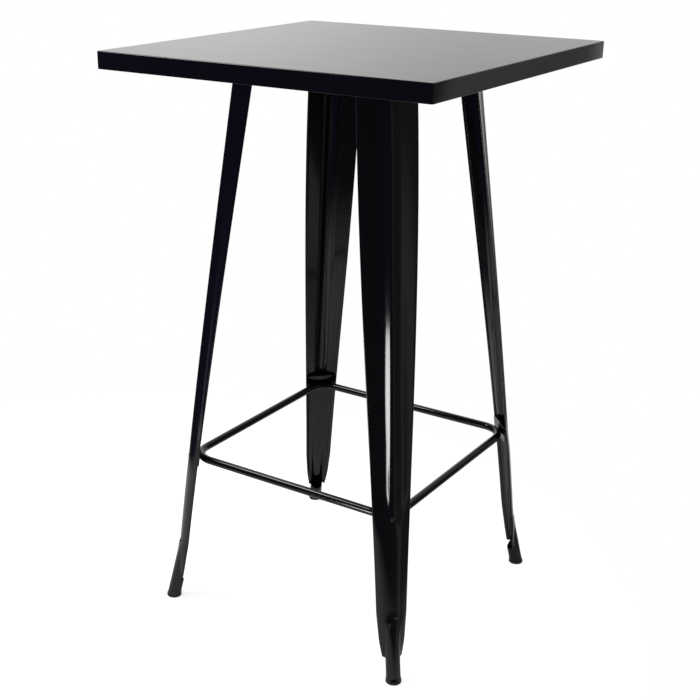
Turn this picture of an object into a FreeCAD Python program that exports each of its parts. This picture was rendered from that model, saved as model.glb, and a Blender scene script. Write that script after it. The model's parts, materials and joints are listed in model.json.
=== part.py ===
"""Square pub table: sheet-steel top, four pressed legs, a round-bar footrest and rubber feet.

Millimetres, +Z up. The origin is on the floor under the middle of the top. The sides of the top
are parallel to X and Y. Each leg points to a corner: its own frame has +X pointing outward from
the table's centre line and +Y across the leg, and is turned about Z to the leg's corner.
"""
import FreeCAD, Part
import math
import os
import Sketcher

Vector = FreeCAD.Vector

# ---------------------------------------------------------------- driving dimensions
# (name, millimetres, what it is)
DIMENSIONS = [
    ("table_height", 1000, "floor to the top surface"),
    ("top_width", 600, "side of the square top"),
    ("top_sheet", 1.2, "thickness of the top's sheet steel"),
    ("apron_depth", 28, "depth of the folded rim"),
    ("hem_width", 9, "return folded inward under the rim"),
    ("rim_corner_radius", 3, "upright corners of the rim, outside"),
    ("top_edge_radius", 2, "bend between top and rim, outside"),
    ("channel_depth", 18, "height of the channels under the top"),
    ("channel_sheet", 1.5, "thickness of the channels' sheet"),
    ("channel_border", 3, "a leg channel's flat bottom beyond the leg plates, each side"),
    ("channel_slope", 8, "sideways run of a channel's sloping side"),
    ("channel_flange", 12, "flange welded to the top's underside"),
    ("rib_gap", 8, "between the middle rib's flanges and the leg channels' flanges"),
    ("channel_end_gap", 4, "from a channel's end to the rim's inside"),
    ("leg_sheet", 1.2, "thickness of the legs' sheet steel"),
    ("leg_hem", 6, "doubled edge of a leg's wing"),
    ("top_ridge", 205.6, "ridge from the centre line, at the leg's top"),
    ("top_chord", 96.3, "leg's width at its top"),
    ("top_wing", 35.1, "width of a wing at the top, across the leg"),
    ("top_rib", 9, "height of the ridge above the wings' roots at the top"),
    ("top_rake", 15, "how far a wing leans back at the top"),
    ("top_nose", 5, "outside radius of the ridge at the top"),
    ("upper_level", 700, "height of the leg's upper station"),
    ("upper_ridge", 245.9, "ridge from the centre line, at the upper station"),
    ("upper_chord", 92.7, "leg's width at the upper station"),
    ("upper_wing", 33.3, "width of a wing at the upper station"),
    ("upper_rib", 9.3, "height of the ridge at the upper station"),
    ("upper_rake", 9.2, "how far a wing leans back at the upper station"),
    ("upper_nose", 6, "outside radius of the ridge at the upper station"),
    ("lower_level", 400, "height of the leg's lower station"),
    ("lower_ridge", 287.8, "ridge from the centre line, at the lower station"),
    ("lower_chord", 72.2, "leg's width at the lower station"),
    ("lower_wing", 23.1, "width of a wing at the lower station"),
    ("lower_rib", 9.8, "height of the ridge at the lower station"),
    ("lower_rake", 4.2, "how far a wing leans back at the lower station"),
    ("lower_nose", 8, "outside radius of the ridge at the lower station"),
    ("kink_level", 120, "height where the leg turns outward"),
    ("kink_ridge", 323, "ridge from the centre line, at the kink"),
    ("kink_chord", 52.4, "leg's width at the kink"),
    ("kink_wing", 13.4, "width of a wing at the kink"),
    ("kink_rib", 11, "height of the ridge at the kink"),
    ("foot_radius", 12.5, "outside radius of the rolled foot and of the ridge above it"),
    ("foot_slope", 0.245, "outward run of the foot for each millimetre down"),
    ("neck_level", 42, "height where the wings end and the foot's tube begins"),
    ("neck_chord", 41, "leg's width at the neck, before its corners are cut"),
    ("neck_wing", 7.5, "width of a wing at the neck"),
    ("neck_rake", 6, "how far a wing leans back at the neck"),
    ("wing_cut_width", 35, "width left between the cut corners at the neck"),
    ("wing_cut_slope", 0.23, "sideways run of the cut corner for each millimetre up"),
    ("seam_level", 31, "height where the foot's tube closes at its back"),
    ("flare_height", 8, "height of the flared lip at the foot's end"),
    ("flare_step", 1.1, "how far the lip flares outward"),
    ("plate_thickness", 3, "plate welded across the leg's top"),
    ("plate_border", 4.5, "plate's edge beyond the leg"),
    ("plate_reach", 46, "plate's reach inward from the wings' tips"),
    ("plate_inner_width", 72, "plate's width at its inner edge"),
    ("bolt_radius", 3, "M6 bolts"),
    ("bolt_clearance", 0.3, "radial clearance of a bolt in its hole"),
    ("leg_bolt_spacing", 56, "between the two inner bolts of a leg's plate"),
    ("leg_bolt_border", 12, "from the inner bolts to the plate's inner edge"),
    ("leg_bolt_setback", 22, "from the ridge to the outer bolt"),
    ("leg_bolt_end", 5.3, "how far a leg bolt stands past its nut"),
    ("hex_flats", 10, "across the flats of M6 hexagons"),
    ("hex_head_height", 4, "M6 hexagon head"),
    ("nut_height", 5, "M6 weld nut"),
    ("washer_radius", 6, "M6 washer, outside"),
    ("washer_thickness", 1.2, "M6 washer"),
    ("ring_level", 288, "height of the footrest bar's centre"),
    ("ring_bar_radius", 7, "footrest bar"),
    ("ring_corner_radius", 42, "bend of the bar's centre line"),
    ("saddle_inset", 3.7, "from a wing's tip to the footrest saddle's end"),
    ("saddle_height", 34, "footrest saddle, along the leg"),
    ("saddle_thickness", 2, "footrest saddle"),
    ("saddle_corner_radius", 4, "corners of the saddle"),
    ("saddle_rise", 5, "saddle's middle above the bar's centre"),
    ("saddle_play", 0.02, "gap between a saddle and the wings or the bar that it lies against"),
    ("screw_radius", 2.5, "M5 screws of the footrest"),
    ("screw_grip", 4, "depth of a screw's end past the bar's centre"),
    ("screw_head_radius", 4, "low round head"),
    ("screw_head_height", 1.4, "low round head"),
    ("socket_flats", 3, "hexagon socket in the head"),
    ("socket_depth", 1, "hexagon socket in the head"),
    ("screw_seat_depth", 0.8, "flat seat pressed into the ridge"),
    ("screw_seat_border", 0.4, "seat beyond the head"),
    ("spacer_wall", 1.2, "sleeve round the screw, inside the leg"),
    ("spacer_play", 0.05, "gap at each end of the sleeve"),
    ("glide_inset", 0.1, "rubber foot's edge inside the steel lip"),
    ("glide_height", 4, "rubber foot below the steel"),
    ("glide_round", 1.2, "round lower edge of the rubber foot"),
    ("glide_plug", 18, "length of the rubber plug inside the tube"),
    ("glide_play", 0.1, "radial gap between the plug and the tube"),
]

NEGLIGIBLE = 1e-6  # differences below this count as none

doc = FreeCAD.newDocument("PubTable")


def fill_sheet(name, rows):
    """Spreadsheet with a name, a plain number and a note in each row."""
    sheet = doc.addObject("Spreadsheet::Sheet", name)
    for row, (alias, number, note) in enumerate(rows, start=1):
        sheet.set(f"A{row}", alias)
        sheet.set(f"B{row}", str(number))
        sheet.set(f"C{row}", note)
        sheet.setAlias(f"B{row}", alias)
    doc.recompute()
    return sheet


driving_sheet = fill_sheet("Dimensions", DIMENSIONS)


def value(expression):
    """The number that an expression on the sheets gives."""
    result = driving_sheet.evalExpression(expression)
    return float(getattr(result, "Value", result))


def size(alias):
    """One driving dimension."""
    return value("Dimensions." + alias)


def cell(alias):
    """A driving dimension as it is written in an expression."""
    return "Dimensions." + alias


# ---------------------------------------------------------------- derived levels and places
TOP_UNDERSIDE = f"({cell('table_height')} - {cell('top_sheet')})"
CHANNEL_BOTTOM = f"({TOP_UNDERSIDE} - {cell('channel_depth')})"
LEG_TOP = f"({CHANNEL_BOTTOM} - {cell('plate_thickness')})"
RIM_BOTTOM = f"({cell('table_height')} - {cell('apron_depth')})"
TOP_TIP = f"({cell('top_ridge')} - {cell('top_rib')} - {cell('top_rake')})"
PLATE_INNER_EDGE = f"({TOP_TIP} - {cell('plate_reach')})"
INNER_BOLT = f"({PLATE_INNER_EDGE} + {cell('leg_bolt_border')})"
OUTER_BOLT = f"({cell('top_ridge')} - {cell('leg_bolt_setback')})"
HALF_SPACING = f"({cell('leg_bolt_spacing')} / 2)"
HOLE_RADIUS = f"({cell('bolt_radius')} + {cell('bolt_clearance')})"
LEG_BOLTS = [(INNER_BOLT, HALF_SPACING), (INNER_BOLT, f"(-{HALF_SPACING})"), (OUTER_BOLT, "0")]

# A leg's plate is widest a little outward of the wings' tips. The channels' flat bottoms reach
# past the plates, which are turned by 45 degrees against the channels.
PLATE_WIDEST = f"({TOP_TIP} + {cell('plate_border')})"
PLATE_HALF_WIDTH = f"({cell('top_chord')} / 2 + {cell('plate_border')})"
PLATE_HALF_INNER = f"({cell('plate_inner_width')} / 2)"
CHANNEL_NEAR = f"(({PLATE_INNER_EDGE} - {PLATE_HALF_INNER}) * cos(45 deg) - {cell('channel_border')})"
CHANNEL_FAR = f"(({PLATE_WIDEST} + {PLATE_HALF_WIDTH}) * cos(45 deg) + {cell('channel_border')})"
CHANNEL_PLACE = f"(({CHANNEL_NEAR} + {CHANNEL_FAR}) / 2)"
CHANNEL_WEB = f"({CHANNEL_FAR} - {CHANNEL_NEAR})"
CHANNEL_SIDE = f"({cell('channel_slope')} + {cell('channel_flange')})"
RIB_WEB = f"(2 * ({CHANNEL_NEAR} - {CHANNEL_SIDE} - {cell('rib_gap')} - {CHANNEL_SIDE}))"

CORNERS = {"front_right": -45, "back_right": 45, "back_left": 135, "front_left": 225}


def turned(angle):
    """Placement that turns a leg's frame to its corner."""
    return FreeCAD.Placement(Vector(0, 0, 0), FreeCAD.Rotation(Vector(0, 0, 1), angle))


# ---------------------------------------------------------------- sketch helpers
def new_body(label):
    body = doc.addObject("PartDesign::Body", "Body_" + label)
    body.Label = label
    return body


def new_sketch(body, name, role, level=None):
    """Sketch on one of the body's origin planes, raised to a level given as an expression."""
    sketch = body.newObject("Sketcher::SketchObject", name)
    plane = next(item for item in body.Origin.OriginFeatures if item.Role == role)
    sketch.AttachmentSupport = (plane, [""])
    sketch.MapMode = "FlatFace"
    if level is not None:
        sketch.setExpression("AttachmentOffset.Base.z", level)
    return sketch


def bind(sketch, constraint, expression):
    """Add a dimension to the sketch and bind it to an expression."""
    index = sketch.addConstraint(constraint)
    sketch.setExpression(f"Constraints[{index}]", expression)


def bind_point(sketch, geometry, position, across, along):
    """Fix one point of the sketch at a pair of expressions measured from its origin."""
    bind(sketch, Sketcher.Constraint("DistanceX", -1, 1, geometry, position, value(across)), across)
    bind(sketch, Sketcher.Constraint("DistanceY", -1, 1, geometry, position, value(along)), along)


def add_polygon(sketch, corners):
    """Closed polygon with each corner at a pair of expressions."""
    first = sketch.GeometryCount
    count = len(corners)
    points = [Vector(value(across), value(along), 0) for across, along in corners]
    for i in range(count):
        sketch.addGeometry(Part.LineSegment(points[i], points[(i + 1) % count]), False)
    for i in range(count):
        following = first + (i + 1) % count
        sketch.addConstraint(Sketcher.Constraint("Coincident", first + i, 2, following, 1))
    for i, (across, along) in enumerate(corners):
        bind_point(sketch, first + i, 1, across, along)


def add_rectangle(sketch, half_width, half_height):
    """Rectangle about the sketch's origin, its half sizes expressions."""
    left = f"(0 - {half_width})"
    bottom = f"(0 - {half_height})"
    add_polygon(sketch, [(left, bottom), (half_width, bottom), (half_width, half_height), (left, half_height)])


def add_bent_loop(sketch, apex, tangent_points, radius):
    """Closed path of lines and arcs that starts in the middle of an arc on the sketch's first axis."""
    places = [apex] + tangent_points + [apex]
    points = [Vector(value(across), value(along), 0) for across, along in places]
    for i in range(len(points) - 1):
        if i % 2:
            sketch.addGeometry(Part.LineSegment(points[i], points[i + 1]), False)
            continue
        chord = points[i + 1] - points[i]
        outward = Vector(chord.y, -chord.x, 0).normalize()
        half = chord.Length / 2
        rise = value(radius) - math.sqrt(value(radius) ** 2 - half ** 2)
        halfway = points[i] + chord * 0.5 + outward * rise
        sketch.addGeometry(Part.Arc(points[i], halfway, points[i + 1]), False)
    last = len(points) - 2
    for i in range(last + 1):
        following = 0 if i == last else i + 1
        sketch.addConstraint(Sketcher.Constraint("Coincident", i, 2, following, 1))
    for i in range(last + 1):
        bind_point(sketch, i, 1, *places[i])
        if i % 2 == 0:
            bind(sketch, Sketcher.Constraint("Radius", i, value(radius)), radius)


def add_circle(sketch, across, along, radius):
    """Circle with its centre and radius at expressions."""
    centre = Vector(value(across), value(along), 0)
    index = sketch.addGeometry(Part.Circle(centre, Vector(0, 0, 1), value(radius)), False)
    bind_point(sketch, index, 3, across, along)
    bind(sketch, Sketcher.Constraint("Radius", index, value(radius)), radius)


def pad(body, name, sketch, length, midplane=False, against_normal=False):
    """Extrude a sketch along its normal, to both sides of it, or against its normal."""
    feature = body.newObject("PartDesign::Pad", name)
    feature.Profile = sketch
    feature.Midplane = midplane
    feature.Reversed = against_normal
    feature.setExpression("Length", length)
    doc.recompute()
    return feature


def pocket(body, name, sketch, length, along_normal=False):
    """Cut against the sketch's normal, or along it, and see that it removes material."""
    before = body.Tip.Shape.Volume
    feature = body.newObject("PartDesign::Pocket", name)
    feature.Profile = sketch
    feature.Reversed = along_normal
    feature.setExpression("Length", length)
    doc.recompute()
    if not feature.Shape.Volume < before - NEGLIGIBLE:
        raise RuntimeError(f"{body.Label}: {name} cuts nothing")
    return feature


def fillet(body, name, base, picked, radius):
    """Round the edges of base that the test picks."""
    edges = [f"Edge{i}" for i, edge in enumerate(base.Shape.Edges, start=1) if picked(edge)]
    feature = body.newObject("PartDesign::Fillet", name)
    feature.Base = (base, edges)
    feature.setExpression("Radius", radius)
    doc.recompute()
    return feature


def repeat_at_corners(body, name, feature):
    """Repeat a feature at every quarter turn about the body's own Z axis."""
    pattern = body.newObject("PartDesign::PolarPattern", name)
    pattern.Originals = [feature]
    axis = next(item for item in body.Origin.OriginFeatures if item.Role == "Z_Axis")
    pattern.Axis = (axis, [""])
    pattern.Angle = 360
    pattern.Occurrences = len(CORNERS)
    body.Tip = pattern
    doc.recompute()


def is_upright(edge):
    """Test for straight edges along Z."""
    box = edge.BoundBox
    return box.ZLength > NEGLIGIBLE and max(box.XLength, box.YLength) < NEGLIGIBLE


def lies_at(level):
    """Test for edges that lie in the horizontal plane at a level."""
    return lambda edge: max(abs(edge.BoundBox.ZMin - level), edge.BoundBox.ZLength) < NEGLIGIBLE


# ---------------------------------------------------------------- the top and what stiffens it
def build_table_top():
    """One sheet folded down at the rim and hemmed inward under it."""
    body = new_body("table_top")
    half_width = f"({cell('top_width')} / 2)"
    outline = new_sketch(body, "TopOutline", "XY_Plane", RIM_BOTTOM)
    add_rectangle(outline, half_width, half_width)
    block = pad(body, "TopBlock", outline, cell("apron_depth"))
    corners = fillet(body, "RimCorners", block, is_upright, cell("rim_corner_radius"))
    fillet(body, "TopEdge", corners, lies_at(value(cell("table_height"))), cell("top_edge_radius"))

    inside = f"({half_width} - {cell('top_sheet')})"
    hollow = new_sketch(body, "TopHollow", "XY_Plane", f"{RIM_BOTTOM} + {cell('top_sheet')}")
    add_rectangle(hollow, inside, inside)
    depth = f"{cell('apron_depth')} - 2 * {cell('top_sheet')}"
    pocket(body, "TopCavity", hollow, depth, along_normal=True)
    mouth_half = f"({inside} - {cell('hem_width')})"
    mouth = new_sketch(body, "HemMouth", "XY_Plane", RIM_BOTTOM)
    add_rectangle(mouth, mouth_half, mouth_half)
    pocket(body, "HemOpening", mouth, f"{cell('top_sheet')} * 2", along_normal=True)
    return body


def build_channel(label, place, web, bolts):
    """Hat-section channel welded under the top, along Y, with holes for the leg bolts."""
    body = new_body(label)
    gauge = cell("channel_sheet")
    run = f"({cell('channel_slope')} / ({cell('channel_depth')} - {gauge}))"
    half_web = f"({web} / 2)"
    half_top = f"({half_web} + {cell('channel_slope')})"
    half_flange = f"({half_top} + {cell('channel_flange')})"
    inset = f"({gauge} * (sqrt(1 + {run} * {run}) - {run}))"
    flange_bottom = f"({TOP_UNDERSIDE} - {gauge})"
    right = [
        (half_web, CHANNEL_BOTTOM),
        (half_top, flange_bottom),
        (half_flange, flange_bottom),
        (half_flange, TOP_UNDERSIDE),
        (f"({half_top} - {inset})", TOP_UNDERSIDE),
        (f"({half_web} - {inset})", f"({CHANNEL_BOTTOM} + {gauge})"),
    ]
    left = [(f"(0 - {across})", along) for across, along in reversed(right)]
    profile = new_sketch(body, label + "_profile", "XZ_Plane")
    add_polygon(profile, [(f"({place} + {across})", along) for across, along in right + left])
    length = f"{cell('top_width')} - 2 * ({cell('top_sheet')} + {cell('channel_end_gap')})"
    pad(body, label + "_pad", profile, length, midplane=True)
    if bolts:
        holes = new_sketch(body, label + "_holes", "XY_Plane", CHANNEL_BOTTOM)
        for across, along in bolts:
            add_circle(holes, across, along, HOLE_RADIUS)
        pocket(body, label + "_bores", holes, f"{gauge} * 2", along_normal=True)
    return body


def bolts_of(corners):
    """Where the leg bolts of some corners stand, as expressions in the table's frame."""
    places = []
    for corner in corners:
        cosine = f"cos({CORNERS[corner]} deg)"
        sine = f"sin({CORNERS[corner]} deg)"
        for outward, across in LEG_BOLTS:
            x_place = f"({outward} * {cosine} - {across} * {sine})"
            y_place = f"({outward} * {sine} + {across} * {cosine})"
            places.append((x_place, y_place))
    return places


# ---------------------------------------------------------------- the pressed legs
SECTION_SIZES = ("ridge", "chord", "wing", "rib", "rake", "nose")


def foot_ridge(level):
    """Distance of the ridge from the centre line at a level below the kink."""
    return size("kink_ridge") + (size("kink_level") - level) * size("foot_slope")


def station(name, level, **given):
    """One named section of the leg; sizes that aren't given are the sheet's for that name."""
    sizes = {key: given[key] if key in given else size(f"{name}_{key}") for key in SECTION_SIZES}
    return dict(sizes, level=level)


FOOT_RADIUS = size("foot_radius")
KINK = station("kink", size("kink_level"), rake=0, nose=FOOT_RADIUS)
NECK = station("neck", size("neck_level"), ridge=foot_ridge(size("neck_level")), rib=FOOT_RADIUS,
               nose=FOOT_RADIUS)
STATIONS = [
    station("top", value(LEG_TOP)),
    station("upper", size("upper_level")),
    station("lower", size("lower_level")),
    KINK,
]


def section_at(level):
    """The leg's section at a level above the kink: smooth curves through the stations' sizes."""
    section = dict.fromkeys(SECTION_SIZES, 0.0)
    section["level"] = level
    for here in STATIONS:
        weight = 1.0
        for other in STATIONS:
            if other is not here:
                weight *= (level - other["level"]) / (here["level"] - other["level"])
        for key in SECTION_SIZES:
            section[key] += weight * here[key]
    return section


def crossing(point, direction, other, other_direction):
    """Where two lines of the plane meet."""
    across = direction[0] * other_direction[1] - direction[1] * other_direction[0]
    gap = (other[0] - point[0], other[1] - point[1])
    share = (gap[0] * other_direction[1] - gap[1] * other_direction[0]) / across
    return point[0] + share * direction[0], point[1] + share * direction[1]


def section_corners(section):
    """Corners of one half of a leg's section, as (across, outward of the ridge), by name."""
    gauge = size("leg_sheet")
    nose = section["nose"]
    tip = (section["chord"] / 2, -section["rib"] - section["rake"])
    root = (section["chord"] / 2 - section["wing"], -section["rib"])
    reach = math.hypot(root[0], root[1] + nose)
    swing = math.atan2(root[1] + nose, root[0]) + math.acos(nose / reach)
    flank_top = (nose * math.cos(swing), nose * math.sin(swing) - nose)
    bore = nose - gauge
    inner_flank_top = (bore * math.cos(swing), bore * math.sin(swing) - nose)

    wing_length = math.hypot(tip[0] - root[0], tip[1] - root[1])
    along = ((tip[0] - root[0]) / wing_length, (tip[1] - root[1]) / wing_length)
    inward = (along[1], -along[0])
    flank = (root[0] - flank_top[0], root[1] - flank_top[1])

    def offset(point, back, depth):
        """A point moved back along the wing and inward of it."""
        return (point[0] - back * along[0] + depth * inward[0],
                point[1] - back * along[1] + depth * inward[1])

    inner_root = crossing(inner_flank_top, flank, offset(root, 0, gauge), along)
    return {
        "tip": tip, "root": root, "flank_top": flank_top, "ridge": (0, 0),
        "inner_tip": offset(tip, 0, 2 * gauge),
        "hem_edge": offset(tip, size("leg_hem"), 2 * gauge),
        "hem_root": offset(tip, size("leg_hem"), gauge),
        "inner_root": inner_root, "inner_flank_top": inner_flank_top, "inner_ridge": (0, -gauge),
    }


def thin_wire(outer, inner, outer_crown, inner_crown):
    """Closed wire of a folded sheet, the same on both sides.

    outer runs from the edge to the crown's start on one side, and inner the same way on the
    inside of the sheet. Each pair of sides is joined by an arc over its crown.
    """
    def mirrored(points):
        return [Vector(point.x, -point.y, point.z) for point in points]

    def lines(points):
        return [Part.LineSegment(start, end).toShape() for start, end in zip(points, points[1:])]

    outer_far = mirrored(outer)
    inner_far = mirrored(inner)
    edges = lines(outer)
    edges.append(Part.Arc(outer[-1], outer_crown, outer_far[-1]).toShape())
    edges += lines(outer_far[::-1] + inner_far)
    edges.append(Part.Arc(inner_far[-1], inner_crown, inner[-1]).toShape())
    edges += lines(inner[::-1] + outer[:1])
    return Part.Wire(edges)


def leg_wire(section):
    """Section of the leg's pressed length: hemmed wings, flanks and a round ridge."""
    corners = section_corners(section)

    def place(*names):
        return [Vector(section["ridge"] + corners[name][1], corners[name][0], section["level"])
                for name in names]

    outer = place("tip", "root", "flank_top")
    inner = place("inner_tip", "hem_edge", "hem_root", "inner_root", "inner_flank_top")
    return thin_wire(outer, inner, *place("ridge", "inner_ridge"))


def ruled(wires):
    """Solid with straight rulings from each wire to the next."""
    return Part.makeLoft(wires, True, True)


def foot_circle(level, radius):
    """Level circle about the foot's axis."""
    centre = Vector(foot_ridge(level) - FOOT_RADIUS, 0, level)
    return Part.Wire([Part.Circle(centre, Vector(0, 0, 1), radius).toShape()])


def foot_tube():
    """Tube below the neck, with a flared lip; its back is open above a sloping edge."""
    bottom = size("glide_height")
    lip = bottom + size("flare_height")
    flare = size("flare_step")
    bore = FOOT_RADIUS - size("leg_sheet")
    top = NECK["level"]
    outside = ruled([foot_circle(top, FOOT_RADIUS), foot_circle(lip, FOOT_RADIUS),
                     foot_circle(bottom, FOOT_RADIUS + flare)])
    inside = ruled([foot_circle(top, bore), foot_circle(lip, bore), foot_circle(bottom, bore + flare)])
    seam = size("seam_level")
    side = NECK["ridge"] - FOOT_RADIUS
    back = foot_ridge(seam) - 2 * FOOT_RADIUS
    beyond = back - 2 * FOOT_RADIUS
    corners = [Vector(side, -FOOT_RADIUS, top), Vector(back, -FOOT_RADIUS, seam),
               Vector(beyond, -FOOT_RADIUS, seam), Vector(beyond, -FOOT_RADIUS, top),
               Vector(side, -FOOT_RADIUS, top)]
    opening = Part.Face(Part.makePolygon(corners)).extrude(Vector(0, 2 * FOOT_RADIUS, 0))
    return outside.cut([inside, opening])


def cut_corner(side):
    """Wedge that trims the lower corner of one wing."""
    level = NECK["level"]
    inner = size("wing_cut_width") / 2
    outer = KINK["chord"]
    rise = (outer - inner) / size("wing_cut_slope")
    corners = [Vector(0, side * inner, level), Vector(0, side * outer, level),
               Vector(0, side * outer, level + rise), Vector(0, side * inner, level)]
    return Part.Face(Part.makePolygon(corners)).extrude(Vector(2 * NECK["ridge"], 0, 0))


def seat_inside():
    """Inner face of a screw's seat: level with the sheet's inside at the seat's upper edge."""
    section = section_at(size("ring_level") + SEAT_RADIUS)
    bore = section["nose"] - size("leg_sheet")
    curve = bore - math.sqrt(bore ** 2 - SEAT_RADIUS ** 2)
    return section["ridge"] - size("leg_sheet") - curve


LEG_SPANS = 8  # sections of the smooth length, top to kink
SCREW_HOLE = size("screw_radius") + size("bolt_clearance")
SCREW_SEAT = section_at(size("ring_level"))["ridge"] - size("screw_seat_depth")
SEAT_RADIUS = size("screw_head_radius") + size("screw_seat_border")
SEAT_INSIDE = seat_inside()


def lying_cylinder(radius, start, end):
    """Cylinder along a leg's outward direction at the footrest's level, between two distances."""
    return Part.makeCylinder(radius, end - start, Vector(start, 0, size("ring_level")), Vector(1, 0, 0))


def leg_shape():
    """One pressed leg in its own frame, with a flat seat and a hole for the footrest's screw."""
    top = STATIONS[0]["level"]
    span = top - KINK["level"]
    levels = [top - span * i / LEG_SPANS for i in range(LEG_SPANS + 1)]
    upper = Part.makeLoft([leg_wire(section_at(level)) for level in levels], True, False)
    lower = ruled([leg_wire(KINK), leg_wire(NECK)])
    shape = upper.fuse([lower, foot_tube()])
    shape = shape.cut([cut_corner(1), cut_corner(-1)])
    shape = shape.fuse(lying_cylinder(SEAT_RADIUS, SEAT_INSIDE, SCREW_SEAT))
    outside = SCREW_SEAT + FOOT_RADIUS
    shape = shape.cut([lying_cylinder(SEAT_RADIUS, SCREW_SEAT, outside),
                       lying_cylinder(SCREW_HOLE, SEAT_INSIDE, SCREW_SEAT)])
    return shape.removeSplitter()


def add_feature(label, shape, placement=None):
    """A sub-part whose shape comes from Part's functions."""
    feature = doc.addObject("Part::Feature", "Feature_" + label)
    feature.Label = label
    feature.Shape = shape
    if placement is not None:
        feature.Placement = placement
    return feature


# ---------------------------------------------------------------- leg plates and rubber feet
def build_leg_plate(corner):
    """Plate welded across a leg's top, bolted up to a channel."""
    body = new_body("leg_plate_" + corner)
    border = cell("plate_border")
    right = [
        (PLATE_INNER_EDGE, PLATE_HALF_INNER),
        (f"({TOP_TIP} - 2 * {border})", PLATE_HALF_WIDTH),
        (PLATE_WIDEST, PLATE_HALF_WIDTH),
        (f"({cell('top_ridge')} + {border} / 2)", f"({cell('top_nose')} + {border})"),
    ]
    left = [(outward, f"(0 - {across})") for outward, across in reversed(right)]
    outline = new_sketch(body, "PlateOutline_" + corner, "XY_Plane", LEG_TOP)
    add_polygon(outline, right + left)
    pad(body, "Plate_" + corner, outline, cell("plate_thickness"))
    holes = new_sketch(body, "PlateHoles_" + corner, "XY_Plane", LEG_TOP)
    for outward, across in LEG_BOLTS:
        add_circle(holes, outward, across, HOLE_RADIUS)
    pocket(body, "PlateBores_" + corner, holes, cell("plate_thickness"), along_normal=True)
    body.Placement = turned(CORNERS[corner])
    return body


def foot_axis(level):
    """Distance of the foot's axis from the centre line at a level, as an expression."""
    drop = f"({cell('kink_level')} - {level})"
    return f"({cell('kink_ridge')} + {drop} * {cell('foot_slope')} - {cell('foot_radius')})"


def build_glide(corner):
    """Rubber foot: a plug up the tube and a rounded disc that stands on the floor."""
    body = new_body("foot_glide_" + corner)
    lower = cell("glide_height")
    upper = f"({lower} + {cell('glide_plug')})"
    disc_radius = f"({cell('foot_radius')} + {cell('flare_step')} - {cell('glide_inset')})"
    disc = new_sketch(body, "GlideDisc_" + corner, "XY_Plane")
    add_circle(disc, foot_axis(lower), "0", disc_radius)
    base = pad(body, "GlideBase_" + corner, disc, lower)
    fillet(body, "GlideRound_" + corner, base, lies_at(0), cell("glide_round"))
    plug_radius = f"({cell('foot_radius')} - {cell('leg_sheet')} - {cell('glide_play')})"
    sections = []
    for name, level in (("Low", lower), ("High", upper)):
        section = new_sketch(body, f"GlidePlug{name}_{corner}", "XY_Plane", level)
        add_circle(section, foot_axis(level), "0", plug_radius)
        sections.append(section)
    plug = body.newObject("PartDesign::AdditiveLoft", "GlidePlug_" + corner)
    plug.Profile = sections[0]
    plug.Sections = sections[1:]
    doc.recompute()
    body.Placement = turned(CORNERS[corner])
    return body


# ---------------------------------------------------------------- the footrest
def footrest_places():
    """Sizes and places that follow from where the saddles lie on the legs' wings.

    A saddle lies flat on the inside of both wings of a leg, seated on them by its two ends, and
    leans with them. The bar lies on the saddle's inward face, at both sides of the screw's hole.
    """
    play = size("saddle_play")
    middle = size("ring_level") + size("saddle_rise")
    half_height = size("saddle_height") / 2
    half_width = section_at(middle)["chord"] / 2 - size("saddle_inset")

    def hem_face(level):
        """Inside of a wing at a level, where the saddle's end lies on it."""
        section = section_at(level)
        corners = section_corners(section)
        tip = corners["inner_tip"]
        edge = corners["hem_edge"]
        share = (tip[0] - half_width) / (tip[0] - edge[0])
        return section["ridge"] + tip[1] + share * (edge[1] - tip[1])

    seat = hem_face(middle) - play
    lean = math.atan2(hem_face(middle - half_height) - hem_face(middle + half_height), 2 * half_height)
    face = seat - size("saddle_thickness") / math.cos(lean) + size("saddle_rise") * math.tan(lean)
    bar = size("ring_bar_radius")
    bend = size("ring_corner_radius") + bar
    settled = bend - math.sqrt(bend ** 2 - SADDLE_HOLE ** 2)
    apex = face - bar / math.cos(lean) + settled - play
    return [
        ("saddle_hole", SADDLE_HOLE, "hole for the screw, its radius"),
        ("saddle_half_width", half_width, "half a saddle's width"),
        ("saddle_seat", seat, "a saddle's outward face from the table's centre line, at its middle"),
        ("saddle_level", middle, "height of a saddle's middle"),
        ("saddle_lean", math.degrees(lean), "degrees that a saddle leans from upright"),
        ("bar_apex", apex, "middle of the bar from the table's centre line, in a corner"),
    ]


SADDLE_HOLE = SCREW_HOLE + size("bolt_clearance")
fill_sheet("Footrest", footrest_places())
BAR_APEX = "Footrest.bar_apex"


def build_saddle(corner):
    """Flat clamp plate across the wings, between the leg and the footrest bar."""
    body = new_body("footrest_saddle_" + corner)
    outline = new_sketch(body, "SaddleOutline_" + corner, "YZ_Plane")
    add_rectangle(outline, "Footrest.saddle_half_width", f"({cell('saddle_height')} / 2)")
    plate = pad(body, "Saddle_" + corner, outline, cell("saddle_thickness"), against_normal=True)
    fillet(body, "SaddleCorners_" + corner, plate,
           lambda edge: edge.BoundBox.XLength > NEGLIGIBLE, cell("saddle_corner_radius"))
    hole = new_sketch(body, "SaddleHole_" + corner, "YZ_Plane")
    add_circle(hole, "0", f"(0 - {cell('saddle_rise')})", "Footrest.saddle_hole")
    pocket(body, "SaddleBore_" + corner, hole, cell("saddle_thickness"))
    seat = Vector(value("Footrest.saddle_seat"), 0, value("Footrest.saddle_level"))
    lean = FreeCAD.Rotation(Vector(0, 1, 0), -value("Footrest.saddle_lean"))
    body.Placement = turned(CORNERS[corner]).multiply(FreeCAD.Placement(seat, lean))
    return body


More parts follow.
